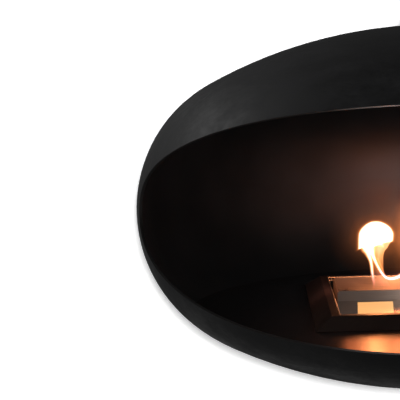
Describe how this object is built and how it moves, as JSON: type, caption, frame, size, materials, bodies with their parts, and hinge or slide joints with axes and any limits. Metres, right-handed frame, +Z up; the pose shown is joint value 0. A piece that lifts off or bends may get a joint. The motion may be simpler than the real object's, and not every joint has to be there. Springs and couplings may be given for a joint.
{
  "type": "hanging fireplace",
  "caption": "Squashed round black steel fireplace with a wide oval mouth, hung from the ceiling on a turning pole, with a liquid-fuel burner on its hearth plate.",
  "frame": {"origin": "centre of the ceiling plate's top face, against the ceiling", "axes": "+Z up along the pole's axis, the mouth faces -Y"},
  "size_m": [0.9, 0.8309, 1.3412],
  "materials": {
    "vessel_black": "satin black stove paint",
    "black_paint": "satin black powder coat",
    "hearth_black": "semi-gloss black stove paint",
    "surround_bronze": "dark bronze brown, satin",
    "stainless_tray": "brushed along the tray's length",
    "stainless_tank": "satin ground",
    "stainless": "mill finish",
    "zinc_steel": "zinc plated",
    "bearing_steel": "ground and polished",
    "cage_brass": "pressed brass",
    "black_screw": "blackened steel",
    "wool": "matte ceramic fibre"
  },
  "bodies": {
    "root": {"ceiling_plate": "zinc_steel", "bearing_housing": "zinc_steel", "housing_screws": "zinc_steel", "lower_race": "bearing_steel", "bearing_balls": "bearing_steel", "ball_cage": "cage_brass"},
    "hanging": {"upper_race": "bearing_steel", "spindle": "zinc_steel", "lock_nut": "zinc_steel", "pole": "black_paint", "pole_bolt": "zinc_steel", "pole_bolt_nut": "zinc_steel", "vessel_ring": "black_paint", "vessel_set_screw": "black_screw", "upper_shell": "vessel_black", "lower_shell": "vessel_black", "hanger_pad": "black_paint", "pole_foot": "black_paint", "foot_bolts": "black_screw", "hearth_plate": "hearth_black", "hearth_brackets": "black_paint"},
    "rose": {"ceiling_rose": "black_paint", "rose_ring": "black_paint", "rose_set_screw": "black_screw"},
    "burner": {"burner_surround": "surround_bronze", "burner_tray": "stainless_tray", "tray_rails": "stainless", "burner_tank": "stainless_tank", "tank_flange": "stainless", "mouth_plate": "stainless", "fuel_wool": "wool", "lid_guides": "stainless"},
    "lid": {"slider_lid": "stainless", "lid_handle": "black_screw"}
  },
  "joints": [
    {"name": "swivel", "type": "hinge", "parent": "root", "child": "hanging", "pos_m": [0, 0, 0], "axis": [0, 0, 1], "continuous": true},
    {"name": "rose_drop", "type": "slide", "parent": "hanging", "child": "rose", "axis": [0, 0, -1], "range_m": [0, 0.6]},
    {"name": "burner_lift", "type": "slide", "parent": "hanging", "child": "burner", "axis": [0, 0, 1], "range_m": [0, 0.1]},
    {"name": "lid_slide", "type": "slide", "parent": "burner", "child": "lid", "axis": [0, 1, 0], "range_m": [0, 0.054]}
  ]
}
